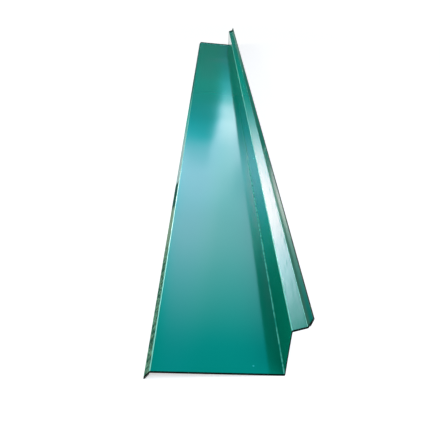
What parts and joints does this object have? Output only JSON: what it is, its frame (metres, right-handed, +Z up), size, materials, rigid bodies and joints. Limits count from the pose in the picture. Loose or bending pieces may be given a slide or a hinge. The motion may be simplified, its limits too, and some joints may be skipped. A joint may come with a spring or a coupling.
{
  "type": "metal flashing",
  "caption": "Long folded steel flashing: a wide flat pan with a hemmed drip lip along one side, and a riser with a small step and a hemmed end lip along the other.",
  "frame": {"origin": "middle of the base of the bounding box, where the strip rests on a level floor on its drip lip and on the fold between pan and riser", "axes": "+Y along the strip, away from the end that the picture shows nearest; +X across the pan, from the drip lip to the riser; +Z up"},
  "size_m": [0.1628, 2, 0.0763],
  "materials": {
    "painted_steel": "glossy teal-green coil coating on galvanised sheet steel"
  },
  "bodies": {
    "root": {"flashing": "painted_steel"}
  },
  "joints": []
}
